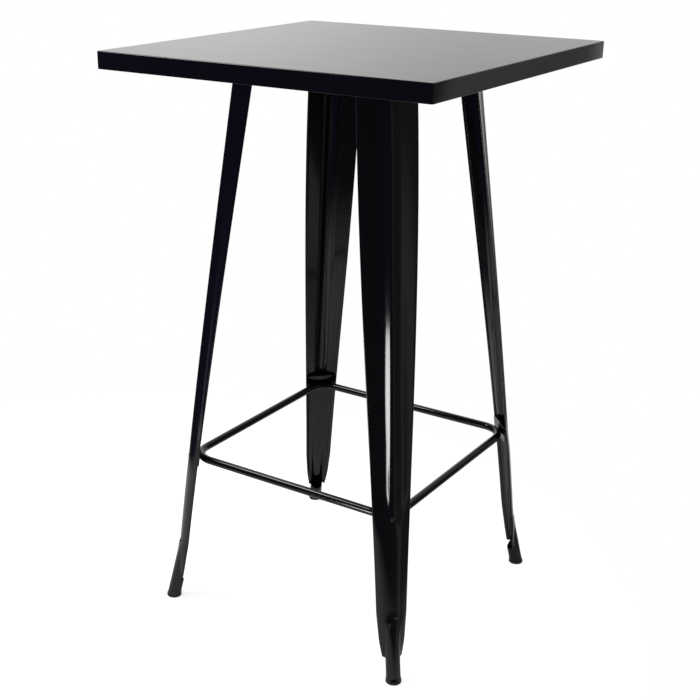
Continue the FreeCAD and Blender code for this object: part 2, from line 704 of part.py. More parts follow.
def build_ring():
    """Footrest: one round bar bent into a square with a tapped hole in each corner.

    Its own frame has the corners on its axes, and is turned by 45 degrees in the table.
    """
    body = new_body("footrest_ring")
    bend = cell("ring_corner_radius")
    centre = f"({BAR_APEX} - {bend})"
    tangent = f"({bend} * cos(45 deg))"
    near = f"({centre} + {tangent})"
    minus_near = f"(0 - {near})"
    minus_tangent = f"(0 - {tangent})"
    path = new_sketch(body, "BarPath", "XY_Plane", cell("ring_level"))
    add_bent_loop(path, (BAR_APEX, "0"), [
        (near, tangent), (tangent, near), (minus_tangent, near), (minus_near, tangent),
        (minus_near, minus_tangent), (minus_tangent, minus_near), (tangent, minus_near),
        (near, minus_tangent),
    ], bend)
    profile = new_sketch(body, "BarSection", "XZ_Plane")
    add_circle(profile, BAR_APEX, cell("ring_level"), cell("ring_bar_radius"))
    bar = body.newObject("PartDesign::AdditivePipe", "Bar")
    bar.Profile = profile
    bar.Spine = path
    doc.recompute()
    outside = f"({BAR_APEX} + {cell('ring_bar_radius')})"
    hole = new_sketch(body, "TappedHole", "YZ_Plane", outside)
    add_circle(hole, "0", cell("ring_level"), cell("screw_radius"))
    depth = f"{cell('ring_bar_radius')} + {cell('screw_grip')}"
    bore = pocket(body, "TappedBore", hole, depth)
    repeat_at_corners(body, "TappedBores", bore)
    body.Placement = turned(CORNERS["back_right"])
    return body


# ---------------------------------------------------------------- fasteners
def hexagon(flats, thickness):
    """Hexagonal prism standing on its own origin."""
    radius = flats / math.sqrt(3)
    corners = [Vector(radius * math.cos(math.radians(60 * i)), radius * math.sin(math.radians(60 * i)), 0)
               for i in range(7)]
    return Part.Face(Part.makePolygon(corners)).extrude(Vector(0, 0, thickness))


def washer():
    disc = Part.makeCylinder(size("washer_radius"), size("washer_thickness"))
    return disc.cut(Part.makeCylinder(value(HOLE_RADIUS), size("washer_thickness")))


def hexagon_bolt():
    """Hexagon-head bolt, its bearing face at its origin and its shank along +Z."""
    head = hexagon(size("hex_flats"), size("hex_head_height"))
    head.translate(Vector(0, 0, -size("hex_head_height")))
    gripped = ("washer_thickness", "plate_thickness", "channel_sheet", "nut_height", "leg_bolt_end")
    length = sum(size(alias) for alias in gripped)
    return head.fuse(Part.makeCylinder(size("bolt_radius"), length)).removeSplitter()


def weld_nut():
    nut = hexagon(size("hex_flats"), size("nut_height"))
    return nut.cut(Part.makeCylinder(size("bolt_radius"), size("nut_height")))


def round_head_screw(length):
    """Low round-head screw, its bearing face at its origin and its shank along -Z."""
    rim = size("screw_head_radius")
    rise = size("screw_head_height")
    crown = Part.makeCylinder(rim, rise)
    dome_radius = (rim ** 2 + rise ** 2) / (2 * rise)
    dome = Part.makeSphere(dome_radius, Vector(0, 0, rise - dome_radius))
    socket = hexagon(size("socket_flats"), size("socket_depth"))
    socket.translate(Vector(0, 0, rise - size("socket_depth")))
    shank = Part.makeCylinder(size("screw_radius"), length, Vector(0, 0, 0), Vector(0, 0, -1))
    return crown.common(dome).cut(socket).fuse(shank).removeSplitter()


def spacer_sleeve(length):
    sleeve = Part.makeCylinder(SCREW_HOLE + size("spacer_wall"), length)
    return sleeve.cut(Part.makeCylinder(SCREW_HOLE, length))


def at_leg_bolts(shape, level):
    """Copies of an upright fastener at every bolt of every leg."""
    copies = []
    for angle in CORNERS.values():
        for outward, across in LEG_BOLTS:
            copy = shape.copy()
            place = Vector(value(outward), value(across), level)
            copy.Placement = turned(angle).multiply(FreeCAD.Placement(place, FreeCAD.Rotation()))
            copies.append(copy)
    return Part.makeCompound(copies)


def at_footrest(shape, outward):
    """Copies of a fastener lying with its +Z outward at each leg, at the footrest's level."""
    lying = FreeCAD.Placement(Vector(outward, 0, size("ring_level")), FreeCAD.Rotation(Vector(0, 1, 0), 90))
    copies = []
    for angle in CORNERS.values():
        copy = shape.copy()
        copy.Placement = turned(angle).multiply(lying)
        copies.append(copy)
    return Part.makeCompound(copies)


def build_fasteners():
    plate_bottom = value(LEG_TOP)
    thickness = size("washer_thickness")
    web_top = value(f"{CHANNEL_BOTTOM} + {cell('channel_sheet')}")
    screw_length = SCREW_SEAT - value(BAR_APEX) + size("screw_grip")
    lean = math.radians(value("Footrest.saddle_lean"))
    lowest = size("saddle_rise") + SCREW_HOLE + size("spacer_wall")
    spacer_start = value("Footrest.saddle_seat") + lowest * math.tan(lean) + size("spacer_play")
    spacer = spacer_sleeve(SEAT_INSIDE - size("spacer_play") - spacer_start)
    return [
        add_feature("leg_bolts", at_leg_bolts(hexagon_bolt(), plate_bottom - thickness)),
        add_feature("leg_bolt_washers", at_leg_bolts(washer(), plate_bottom - thickness)),
        add_feature("leg_weld_nuts", at_leg_bolts(weld_nut(), web_top)),
        add_feature("footrest_screws", at_footrest(round_head_screw(screw_length), SCREW_SEAT)),
        add_feature("footrest_spacers", at_footrest(spacer, spacer_start)),
    ]


# ---------------------------------------------------------------- the whole table
def build_table():
    """Every sub-part of the table."""
    minus_place = f"(0 - {CHANNEL_PLACE})"
    leg = leg_shape()
    parts = [
        build_table_top(),
        build_channel("top_channel_right", CHANNEL_PLACE, CHANNEL_WEB,
                      bolts_of(["front_right", "back_right"])),
        build_channel("top_channel_left", minus_place, CHANNEL_WEB,
                      bolts_of(["front_left", "back_left"])),
        build_channel("top_rib_centre", "0", RIB_WEB, []),
        build_ring(),
    ]
    for corner, angle in CORNERS.items():
        parts.append(add_feature("leg_" + corner, leg, turned(angle)))
        parts.append(build_leg_plate(corner))
        parts.append(build_saddle(corner))
        parts.append(build_glide(corner))
    return parts + build_fasteners()


def check_and_write(parts):
    """Write one STEP file for each sub-part, once the whole document is sound."""
    doc.recompute()
    for item in doc.Objects:
        if "Invalid" in item.State or "Error" in item.State:
            raise RuntimeError(f"{item.Label} failed: {item.State}")
    for part in parts:
        if part.Shape.isNull() or not part.Shape.isValid() or not part.Shape.Solids:
            raise RuntimeError(f"{part.Label} has no sound solid")
    os.makedirs("parts", exist_ok=True)
    for part in parts:
        part.Shape.exportStep(os.path.join("parts", part.Label + ".step"))
        print(part.Label, len(part.Shape.Solids), "solids", round(part.Shape.Volume / 1000, 2), "cm3")


check_and_write(build_table())
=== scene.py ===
"""Looks of the pub table: gloss black painted sheet steel on a plain pale floor.

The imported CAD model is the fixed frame. The pressed legs and the top are drawn again here with
their bend radii, rounded hems, softened lower legs and rolled feet. Every other piece is the CAD
node with a material. The sizes of the legs and the top are millimetres, as in the part's source;
everything from the materials on is in metres.
"""
import json
import math

import bpy
from mathutils import Matrix, Vector


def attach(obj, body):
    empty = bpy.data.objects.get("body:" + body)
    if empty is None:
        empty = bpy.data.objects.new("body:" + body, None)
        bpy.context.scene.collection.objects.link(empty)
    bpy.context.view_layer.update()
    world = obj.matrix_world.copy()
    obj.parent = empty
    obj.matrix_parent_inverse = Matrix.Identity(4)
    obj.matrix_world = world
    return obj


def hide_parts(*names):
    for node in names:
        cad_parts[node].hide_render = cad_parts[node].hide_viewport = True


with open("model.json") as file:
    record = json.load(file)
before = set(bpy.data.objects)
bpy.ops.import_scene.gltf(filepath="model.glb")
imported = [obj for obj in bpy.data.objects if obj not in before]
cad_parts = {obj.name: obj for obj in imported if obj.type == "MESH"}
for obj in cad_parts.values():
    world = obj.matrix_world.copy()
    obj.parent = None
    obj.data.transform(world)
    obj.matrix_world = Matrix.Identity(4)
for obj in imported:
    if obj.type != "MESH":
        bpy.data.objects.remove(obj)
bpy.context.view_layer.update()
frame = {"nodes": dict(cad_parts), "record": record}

NODES = frame["nodes"]
MM = 0.001
SHARP_ANGLE = 35

# ---------------------------------------------------------------- sizes of the pressed legs, mm
LEG_TOP = 977.8
KINK = 120.0
NECK = 42.0  # the wings end here, and the round foot begins
SHEET = 1.2
HEM = 6.0
HEM_SHARE = 0.7  # the most of a narrow wing that the hem covers
RING_LEVEL = 288.0  # middle of the footrest's bar
# seat pressed into the ridge for the footrest's screw
SEAT_DEPTH = 0.8
SEAT_RADIUS = 4.4
SEAT_BLEND = 1.6
# rolled foot
FOOT_RADIUS = 12.5
FOOT_SLOPE = 0.245  # how far the ridge moves outward for each unit down
SEAM = 31.0  # below this level the tube is closed, apart from its seam
SEAM_GAP = 0.012  # half of that seam, in radians
GLIDE = 4.0  # the tube ends here, on the rubber glide
# it widens by FLARE_STEP over the last FLARE_HEIGHT, and its lip is rounded off
FLARE_HEIGHT = 8.0
FLARE_STEP = 1.1
FLARE_CURVE = 1.6
LIP_ROUND = 0.45
LIP_HEIGHT = 1.1
# level, ridge (its distance from the table's axis), chord (from wing tip to wing tip), wing (a
# wing's width), rib (from the ridge back to the wing's root), rake (from there back to the wing's
# tip) and nose (the ridge's radius)
STATIONS = [
    (LEG_TOP, 205.6, 96.3, 35.1, 9.0, 15.0, 5.0),
    (700.0, 245.9, 92.7, 33.3, 9.3, 9.2, 6.0),
    (400.0, 287.8, 72.2, 23.1, 9.8, 4.2, 8.0),
    (KINK, 323.0, 52.4, 13.4, 11.0, 0.0, FOOT_RADIUS),
]
NECK_SECTION = (41.0, 7.5, FOOT_RADIUS, 6.0, FOOT_RADIUS)  # chord to nose at the neck
# turn of each leg about the table's axis, in degrees
CORNERS = {"front_right": -45, "back_right": 45, "back_left": 135, "front_left": 225}

# ---------------------------------------------------------------- softer shapes of the legs, mm
# reach of the bend between flank and wing, which widens from the level BEND_FROM to BEND_FULL
BEND_REACH = 6.0
LOW_REACH = 14.0
BEND_FROM = 500.0
BEND_FULL = 300.0
BEND_SHARES = (0.9, 0.45)  # the most of the flank and of the wing that the bend takes
KINK_SOFT = 9.0  # the kink is a bend from this far above it to this far below
# small press wrinkles at the kink: across, level, half width, half length, height
WRINKLES = [(4.6, 116.5, 4.2, 4.6, 2.4), (-6.0, 105.5, 3.2, 4.5, 1.0)]
WING_BOW = 0.5
# each wing narrows by CORNER_CUT over the last CORNER_RISE above the neck
CORNER_CUT = 2.8
CORNER_RISE = 30.0
CORNER_CURVE = 1.3
# the rib fades into one arc from the first level to the second, and back from the third to the neck
GUTTER_FROM = 350.0
GUTTER_FULL = 250.0
GUTTER_END = 110.0
# inside a wing the hem starts to rise HEM_FOOT before its edge, has the share HEM_RISE of its
# height at the edge, and all of it HEM_SOFT further on
HEM_FOOT = 0.25
HEM_RISE = 0.75
HEM_SOFT = 0.35

# points along a section's ridge, bend, wing (as shares of it) and tip, and round the foot
NOSE_POINTS = 21
BEND_POINTS = 9
WING_SHARES = (0.5, 0.6, 0.7, 0.85)
TIP_POINTS = 4
TUBE_POINTS = 33
# rows of the leg and of its foot: from a level, down to a level, the most between two rows
LEG_ROWS = [(LEG_TOP, 330, 14), (330, 299, 5), (299, 276, 1), (276, 138, 8), (138, 122, 2),
            (122, 102, 0.8), (102, 60, 7), (60, NECK, 1.2)]
TUBE_ROWS = [(NECK, SEAM, 1.5), (SEAM, 13, 4), (13, 5.2, 1.1)]
LIP_LEVELS = [5.2, 4.5, GLIDE]


def smooth_step(t):
    t = max(0.0, min(1.0, t))
    return t * t * (3 - 2 * t)


def foot_ridge(level):
    return STATIONS[-1][1] + (KINK - level) * FOOT_SLOPE


def section_at(level):
    """ridge, chord, wing, rib, rake and nose of a leg at a level.

    From the kink up they follow one curve through the stations; below it they change evenly.
    """
    if level < KINK:
        share = (KINK - level) / (KINK - NECK)
        kink = STATIONS[-1][2:]
        return [foot_ridge(level)] + [a + share * (b - a) for a, b in zip(kink, NECK_SECTION)]
    sizes = [0.0] * 6
    for here in STATIONS:
        weight = 1.0
        for other in STATIONS:
            if other is not here:
                weight *= (level - other[0]) / (here[0] - other[0])
        for i in range(6):
            sizes[i] += weight * here[i + 1]
    return sizes


# ---------------------------------------------------------------- plane helpers
def shares(count):
    """Even shares from 0 to 1."""
    return [i / (count - 1) for i in range(count)]


def quarter_turns(count):
    """Even angles from 0 to a quarter turn."""
    return [math.pi / 2 * i / (count - 1) for i in range(count)]


def lerp(a, b, t):
    return (a[0] + (b[0] - a[0]) * t, a[1] + (b[1] - a[1]) * t)


def rounded(before, corner, after, reach, count):
    """Points of a curve that rounds one corner of a polyline, up to a reach from it."""
    first = math.hypot(before[0] - corner[0], before[1] - corner[1])
    second = math.hypot(after[0] - corner[0], after[1] - corner[1])
    reach = min(reach, BEND_SHARES[0] * first, BEND_SHARES[1] * second)
    start = lerp(corner, before, reach / first)
    end = lerp(corner, after, reach / second)
    return [lerp(lerp(start, corner, t), lerp(corner, end, t), t) for t in shares(count)]


def crossing(point, direction, other, other_direction):
    """Where two lines of the plane meet."""
    across = direction[0] * other_direction[1] - direction[1] * other_direction[0]
    gap = (other[0] - point[0], other[1] - point[1])
    share = (gap[0] * other_direction[1] - gap[1] * other_direction[0]) / across
    return (point[0] + share * direction[0], point[1] + share * direction[1])


# ---------------------------------------------------------------- sections of a leg
def pressed_section(level):
    """Root and tip of a leg's wing, and half of its section, outside and inside, ridge to tip.

    Points are (across, outward of the ridge), the same number on both sides of the sheet.
    """
    _, chord, wing, rib, rake, nose = section_at(level)
    half = chord / 2
    cut = max(0.0, 1 - (level - NECK) / CORNER_RISE)
    tip = (half - CORNER_CUT * cut ** CORNER_CURVE, -rib - rake)
    root = (half - wing, -rib)
    away = math.hypot(root[0], root[1] + nose)
    swing = math.atan2(root[1] + nose, root[0]) + math.acos(min(1, nose / away))
    bore = nose - SHEET

    def on_nose(radius, t):
        angle = math.pi / 2 - t * (math.pi / 2 - swing)
        return (radius * math.cos(angle), radius * math.sin(angle) - nose)

    length = math.hypot(tip[0] - root[0], tip[1] - root[1])
    along = ((tip[0] - root[0]) / length, (tip[1] - root[1]) / length)
    inward = (along[1], -along[0])

    def offset(point, back, depth):
        return (point[0] - back * along[0] + depth * inward[0],
                point[1] - back * along[1] + depth * inward[1])

    outer_flank = on_nose(nose, 1)
    inner_flank = on_nose(bore, 1)
    flank = (root[0] - outer_flank[0], root[1] - outer_flank[1])
    inner_root = crossing(inner_flank, flank, offset(root, 0, SHEET), along)
    hem = min(HEM, HEM_SHARE * length)
    step = offset(tip, hem, SHEET)

    outer = [on_nose(nose, t) for t in shares(NOSE_POINTS)]
    inner = [on_nose(bore, t) for t in shares(NOSE_POINTS)]
    lower = smooth_step((BEND_FROM - level) / (BEND_FROM - BEND_FULL))
    reach = BEND_REACH + (LOW_REACH - BEND_REACH) * lower
    outer += rounded(outer_flank, root, tip, reach, BEND_POINTS)
    inner += rounded(inner_flank, inner_root, step, reach, BEND_POINTS)
    outer += [lerp(root, offset(tip, SHEET, 0), t) for t in WING_SHARES]
    inner += [offset(tip, hem + HEM_FOOT, SHEET),
              lerp(step, offset(tip, hem, 2 * SHEET), HEM_RISE),
              offset(tip, hem - HEM_SOFT, 2 * SHEET), offset(tip, hem / 2, 2 * SHEET)]
    middle = offset(tip, SHEET, SHEET)
    for angle in quarter_turns(TIP_POINTS):
        depth, side = math.cos(angle) * SHEET, math.sin(angle) * SHEET
        outer.append(offset(middle, -side, -depth))
        inner.append(offset(middle, -side, depth))
    return root, tip, outer, inner


def surface_at(crest, across):
    """Outward position of the section's outside at a distance across the leg."""
    for (x0, y0), (x1, y1) in zip(crest, crest[1:]):
        if across <= x1 and x1 > x0:
            return y0 + (y1 - y0) * max(0.0, across - x0) / (x1 - x0)
    return crest[-1][1]


def soft_section(level):
    """The pressed section with slightly bowed wings, and its rib faded into one arc lower down.

    Toward the neck the arc gives way to the pressed section again, which meets the round foot.
    """
    root, tip, outer, inner = pressed_section(level)
    share = smooth_step((GUTTER_FROM - level) / (GUTTER_FROM - GUTTER_FULL))
    share *= smooth_step((level - NECK) / (GUTTER_END - NECK))
    radius = (tip[0] ** 2 + tip[1] ** 2) / (-2 * tip[1])
    crest = sorted(outer[:-TIP_POINTS]) + [tip]

    def moved(point):
        across = min(point[0], tip[0])
        t = max(0.0, (across - root[0]) / (tip[0] - root[0]))
        bow = WING_BOW * 4 * t * (1 - t)
        arc = math.sqrt(max(0.0, radius ** 2 - across ** 2)) - radius
        return (point[0], point[1] + (1 - share) * bow + share * (arc - surface_at(crest, across)))

    return [moved(point) for point in outer], [moved(point) for point in inner]


def levels_along(spans, last_levels):
    """Levels of a piece's rows, going down, closer together where the shape turns."""
    levels = []
    for start, stop, spacing in spans:
        count = math.ceil((start - stop) / spacing)
        levels += [start + (stop - start) * i / count for i in range(count)]
    return levels + last_levels


def soft_ridge(level):
    """Ridge with the kink drawn as a bend instead of a crease."""
    gap = level - KINK
    if abs(gap) >= KINK_SOFT:
        return section_at(level)[0]
    t = (KINK_SOFT - gap) / (2 * KINK_SOFT)
    above = section_at(KINK + KINK_SOFT)[0]
    below = section_at(KINK - KINK_SOFT)[0]
    crease = STATIONS[-1][1]
    first = above + (crease - above) * t
    second = crease + (below - crease) * t
    return first + (second - first) * t


def leg_rows():
    """Rows of the pressed length, with the seat for the footrest's screw and the wrinkles."""
    seat = section_at(RING_LEVEL)[0] - SEAT_DEPTH
    rows = []
    for level in levels_along(LEG_ROWS, [NECK]):
        ridge = soft_ridge(level)
        lines = []
        for points in soft_section(level):
            mirrored = [(-across, out) for across, out in reversed(points[1:])]
            lines.append([[ridge + out, across, level] for across, out in mirrored + points])
        for place in lines[0]:
            away = math.hypot(place[1], level - RING_LEVEL)
            press = smooth_step((SEAT_RADIUS + SEAT_BLEND - away) / SEAT_BLEND)
            place[0] += (seat - place[0]) * press
            for across, at_level, width, length, height in WRINKLES:
                apart = math.hypot((place[1] - across) / width, (level - at_level) / length)
                place[0] += height * smooth_step(1 - apart)
        rows.append(lines)
    return rows


def tube_rows():
    """Rolled foot below the neck: a tube open at its back above the seam, with a flared lip."""
    rows = []
    side = foot_ridge(NECK) - FOOT_RADIUS
    back = foot_ridge(SEAM) - 2 * FOOT_RADIUS
    for level in levels_along(TUBE_ROWS, LIP_LEVELS):
        axis = foot_ridge(level) - FOOT_RADIUS
        edge = side + (back - side) * min(1.0, (NECK - level) / (NECK - SEAM))
        wrap = math.acos(max(-1, min(1, (edge - axis) / FOOT_RADIUS)))
        if level <= SEAM:
            wrap = math.pi - SEAM_GAP
        angles = [wrap * (2 * i / (TUBE_POINTS - 1) - 1) for i in range(TUBE_POINTS)]
        flare = max(0.0, (GLIDE + FLARE_HEIGHT - level) / FLARE_HEIGHT) ** FLARE_CURVE
        grown = FLARE_STEP * flare
        lip = LIP_ROUND * max(0.0, 1 - (level - GLIDE) / LIP_HEIGHT)
        rows.append([[[axis + radius * math.cos(a), radius * math.sin(a), level] for a in angles]
                     for radius in (FOOT_RADIUS + grown - lip, FOOT_RADIUS - SHEET + grown)])
    return rows


def add_strip(rows, verts, faces):
    """Closed thin wall: each row is an outer and an inner line, both from edge to edge."""
    count = len(rows[0][0])
    base = len(verts)
    for outer, inner in rows:
        verts.extend(Vector(place) * MM for place in outer + inner)

    def at(row, index):
        return base + row * 2 * count + index

    for r in range(len(rows) - 1):
        for i in range(count - 1):
            j = count + i
            faces.append((at(r, i), at(r, i + 1), at(r + 1, i + 1), at(r + 1, i)))
            faces.append((at(r, j + 1), at(r, j), at(r + 1, j), at(r + 1, j + 1)))
        end = count - 1
        far = 2 * count - 1
        faces.append((at(r, count), at(r, 0), at(r + 1, 0), at(r + 1, count)))
        faces.append((at(r, end), at(r, far), at(r + 1, far), at(r + 1, end)))
    last = len(rows) - 1
    for i in range(count - 1):
        j = count + i
        faces.append((at(0, i + 1), at(0, i), at(0, j), at(0, j + 1)))
        faces.append((at(last, i), at(last, i + 1), at(last, j + 1), at(last, j)))


def new_object(name, verts, faces):
    """Mesh object, smooth except at edges sharper than SHARP_ANGLE."""
    mesh = bpy.data.meshes.new(name)
    mesh.from_pydata([tuple(v) for v in verts], [], faces)
    mesh.validate()
    obj = bpy.data.objects.new(name, mesh)
    bpy.context.scene.collection.objects.link(obj)
    mesh.shade_smooth()
    mesh.set_sharp_from_angle(angle=math.radians(SHARP_ANGLE))
    return obj


def build_leg(corner, angle):
    verts, faces = [], []
    add_strip(leg_rows(), verts, faces)
    add_strip(tube_rows(), verts, faces)
    turn = Matrix.Rotation(math.radians(angle), 3, "Z")
    return new_object("pressed_leg_" + corner, [turn @ v for v in verts], faces)


# ---------------------------------------------------------------- the top, mm
TOP_HALF = 300.0
TOP_LEVEL = 1000.0
RIM_LEVEL = 972.0  # the rim's lower end
RIM_CORNER = 3.0  # radius of the rim's corners, seen from above
TOP_EDGE = 2.0  # radius from the top face into the rim
FOLD_RADIUS = 0.5
HEM_IN = 9.0
HEM_EDGE = 0.3
SMALL_CORNER = 0.6  # the corners' radius on rings away from the rim
FACE_INSETS = (250, 150, 70, 30, 12, 6)  # rings that divide the top face and its underside
FACE_END = 4
RIM_LEVELS = (992, 985, 978)
# points of a ring's side and corner, and of the profile's two rounded edges
SIDE_POINTS = 8
CORNER_POINTS = 9
EDGE_POINTS = 7
FOLD_POINTS = 5


def square_ring(inset, radius, level):
    """Rounded square at an inset from the top's sides."""
    half = TOP_HALF - inset
    centre = half - radius
    ring = []
    for quarter in range(4):
        turn = Matrix.Rotation(math.radians(90 * quarter), 3, "Z")
        for i in range(SIDE_POINTS):
            ring.append(turn @ Vector((half, -centre + 2 * centre * i / SIDE_POINTS, level)) * MM)
        for i in range(CORNER_POINTS):
            angle = math.pi / 2 * i / CORNER_POINTS
            x, y = centre + radius * math.cos(angle), centre + radius * math.sin(angle)
            ring.append(turn @ Vector((x, y, level)) * MM)
    return ring


def top_profile():
    """(inset, corner radius, level) round the folded rim, from the top face to the underside."""
    under = TOP_LEVEL - SHEET
    fold = RIM_LEVEL + SHEET
    edge = SHEET + HEM_IN
    inside = RIM_CORNER - SHEET
    profile = [(inset, SMALL_CORNER, TOP_LEVEL) for inset in (*FACE_INSETS, FACE_END)]
    for angle in quarter_turns(EDGE_POINTS):
        inset = TOP_EDGE - TOP_EDGE * math.sin(angle)
        level = TOP_LEVEL - TOP_EDGE + TOP_EDGE * math.cos(angle)
        profile.append((inset, RIM_CORNER - inset, level))
    profile += [(0, RIM_CORNER, level) for level in RIM_LEVELS]
    for angle in quarter_turns(FOLD_POINTS):
        inset = FOLD_RADIUS * (1 - math.cos(angle))
        level = RIM_LEVEL + FOLD_RADIUS * (1 - math.sin(angle))
        profile.append((inset, RIM_CORNER - inset, level))
    # along the rim's underside, round the hem's edge and back over it
    profile += [(5, 0.7, RIM_LEVEL), (edge - HEM_EDGE, SMALL_CORNER, RIM_LEVEL),
                (edge, SMALL_CORNER, RIM_LEVEL + HEM_EDGE), (edge, SMALL_CORNER, fold - HEM_EDGE),
                (edge - HEM_EDGE, SMALL_CORNER, fold), (3, 1.2, fold)]
    # up the rim's inside, with a small fillet at each end
    profile += [(SHEET + 0.6, inside, fold + 0.15), (SHEET, inside, fold + 0.8),
                (SHEET, inside, RIM_LEVELS[1]), (SHEET, inside, under - 1),
                (SHEET + 0.3, 1.5, under - 0.3), (SHEET + 1, 1.2, under)]
    return profile + [(inset, SMALL_CORNER, under) for inset in reversed(FACE_INSETS)]


def build_top():
    rings = [square_ring(*step) for step in top_profile()]
    count = len(rings[0])
    faces = []
    for r in range(len(rings) - 1):
        for i in range(count):
            j = (i + 1) % count
            faces.append((r * count + i, (r + 1) * count + i, (r + 1) * count + j, r * count + j))
    last = (len(rings) - 1) * count
    faces.append(tuple(range(count)))
    faces.append(tuple(last + i for i in reversed(range(count))))
    return new_object("top_sheet", [v for ring in rings for v in ring], faces)


# ---------------------------------------------------------------- materials
PAINT_ROUGHNESS = 0.085  # of clean paint
EDGE_RADIUS = 0.0005


class Shader:
    """A node material under construction."""

    def __init__(self, name):
        self.material = bpy.data.materials.new(name)
        self.material.use_nodes = True
        self.tree = self.material.node_tree
        self.principled = self.tree.nodes["Principled BSDF"]
        self.place = self.tree.nodes.new("ShaderNodeTexCoord").outputs["Object"]

    def link(self, source, target):
        self.tree.links.new(source, target)

    def noise(self, scale, detail, roughness=0.5):
        """Noise through the piece; its scale is in features per metre."""
        node = self.tree.nodes.new("ShaderNodeTexNoise")
        node.inputs["Scale"].default_value = scale
        node.inputs["Detail"].default_value = detail
        node.inputs["Roughness"].default_value = roughness
        self.link(self.place, node.inputs["Vector"])
        return node.outputs["Fac"]

    def spread(self, source, low, high, from_low=0.3, from_high=0.7):
        """A value mapped to a range, from the range of noise unless another is given."""
        node = self.tree.nodes.new("ShaderNodeMapRange")
        node.inputs["From Min"].default_value = from_low
        node.inputs["From Max"].default_value = from_high
        node.inputs["To Min"].default_value = low
        node.inputs["To Max"].default_value = high
        self.link(source, node.inputs["Value"])
        return node.outputs["Result"]

    def math(self, operation, first, second):
        node = self.tree.nodes.new("ShaderNodeMath")
        node.operation = operation
        for socket, item in zip(node.inputs, (first, second)):
            if isinstance(item, (int, float)):
                socket.default_value = item
            else:
                self.link(item, socket)
        return node.outputs[0]

    def blend(self, share, first, second):
        return mixed(self.tree, share, first, second)

    def soft_edges(self, radius):
        """Normal that turns softly over sharp edges."""
        node = self.tree.nodes.new("ShaderNodeBevel")
        node.samples = 4
        node.inputs["Radius"].default_value = radius
        return node.outputs["Normal"]

    def bump(self, height, strength, distance, below=None):
        """Normal bent by a height, on top of the normal below it."""
        node = self.tree.nodes.new("ShaderNodeBump")
        node.inputs["Strength"].default_value = strength
        node.inputs["Distance"].default_value = distance
        self.link(height, node.inputs["Height"])
        if below is not None:
            self.link(below, node.inputs["Normal"])
        return node.outputs["Normal"]


def mixed(tree, factor, first, second):
    """Mix of two colours, each given as a colour or as a socket."""
    node = tree.nodes.new("ShaderNodeMix")
    node.data_type = "RGBA"
    tree.links.new(factor, node.inputs["Factor"])
    for socket, item in ((node.inputs[6], first), (node.inputs[7], second)):
        if isinstance(item, tuple):
            socket.default_value = (*item, 1)
        else:
            tree.links.new(item, socket)
    return node.outputs[2]


def black_paint():
    """Gloss black powder coat: smudges, soft edges, faint waves of the sheet and orange peel."""
    shader = Shader("black_paint")
    p = shader.principled
    mottled = shader.spread(shader.noise(35, 4), 0, 1)
    shader.link(shader.blend(mottled, (0.0010, 0.0010, 0.0014), (0.0018, 0.0018, 0.0022)),
                p.inputs["Base Color"])
    smudge = shader.spread(shader.noise(14, 5, 0.6), 0.0, 0.035)
    fine = shader.spread(shader.noise(420, 2), 0.0, 0.02)
    matt = shader.math("ADD", shader.math("ADD", smudge, fine), PAINT_ROUGHNESS)
    shader.link(matt, p.inputs["Roughness"])
    wave = shader.bump(shader.noise(9, 1), 0.25, 0.0006, shader.soft_edges(EDGE_RADIUS))
    peel = shader.bump(shader.noise(520, 1), 0.05, 0.00012, wave)
    shader.link(peel, p.inputs["Normal"])
    return shader.material


def plated_steel():
    """Zinc plate with a fine mottled haze."""
    shader = Shader("plated_steel")
    p = shader.principled
    mottled = shader.spread(shader.noise(180, 4), 0, 1)
    shader.link(shader.blend(mottled, (0.50, 0.50, 0.47), (0.66, 0.66, 0.63)),
                p.inputs["Base Color"])
    shader.link(shader.spread(shader.noise(260, 3), 0.26, 0.42), p.inputs["Roughness"])
    p.inputs["Metallic"].default_value = 1.0
    shader.link(shader.bump(shader.noise(900, 2), 0.1, 0.0001), p.inputs["Normal"])
    return shader.material


def black_screw():
    """Blackened steel, a little oily."""
    shader = Shader("black_screw")
    p = shader.principled
    mottled = shader.spread(shader.noise(300, 3), 0, 1)
    shader.link(shader.blend(mottled, (0.010, 0.010, 0.011), (0.020, 0.020, 0.021)),
                p.inputs["Base Color"])
    shader.link(shader.spread(shader.noise(500, 2), 0.22, 0.34), p.inputs["Roughness"])
    shader.link(shader.bump(shader.noise(1200, 2), 0.1, 0.0001), p.inputs["Normal"])
    return shader.material


def foot_rubber():
    """Matt black rubber with a little dust."""
    shader = Shader("foot_rubber")
    p = shader.principled
    dusty = shader.spread(shader.noise(60, 5, 0.6), 0, 1)
    shader.link(shader.blend(dusty, (0.012, 0.012, 0.012), (0.030, 0.029, 0.028)),
                p.inputs["Base Color"])
    shader.link(shader.spread(shader.noise(160, 3), 0.55, 0.75), p.inputs["Roughness"])
    shader.link(shader.bump(shader.noise(700, 3), 0.25, 0.0002), p.inputs["Normal"])
    return shader.material


MATERIALS = {"black_paint": black_paint(), "plated_steel": plated_steel(),
             "black_screw": black_screw(), "foot_rubber": foot_rubber()}


def dress(obj, slot):
    obj.data.materials.clear()
    obj.data.materials.append(MATERIALS[slot])


def take_place(obj, node, slot):
    """Show a piece instead of the CAD node."""
    dress(obj, slot)
    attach(obj, "root")
    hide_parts(node)


for entry in frame["record"]["subparts"]:
    dress(NODES[entry["node"]], entry["material_slot"])
for corner, angle in CORNERS.items():
    take_place(build_leg(corner, angle), "leg_" + corner, "black_paint")
take_place(build_top(), "table_top", "black_paint")


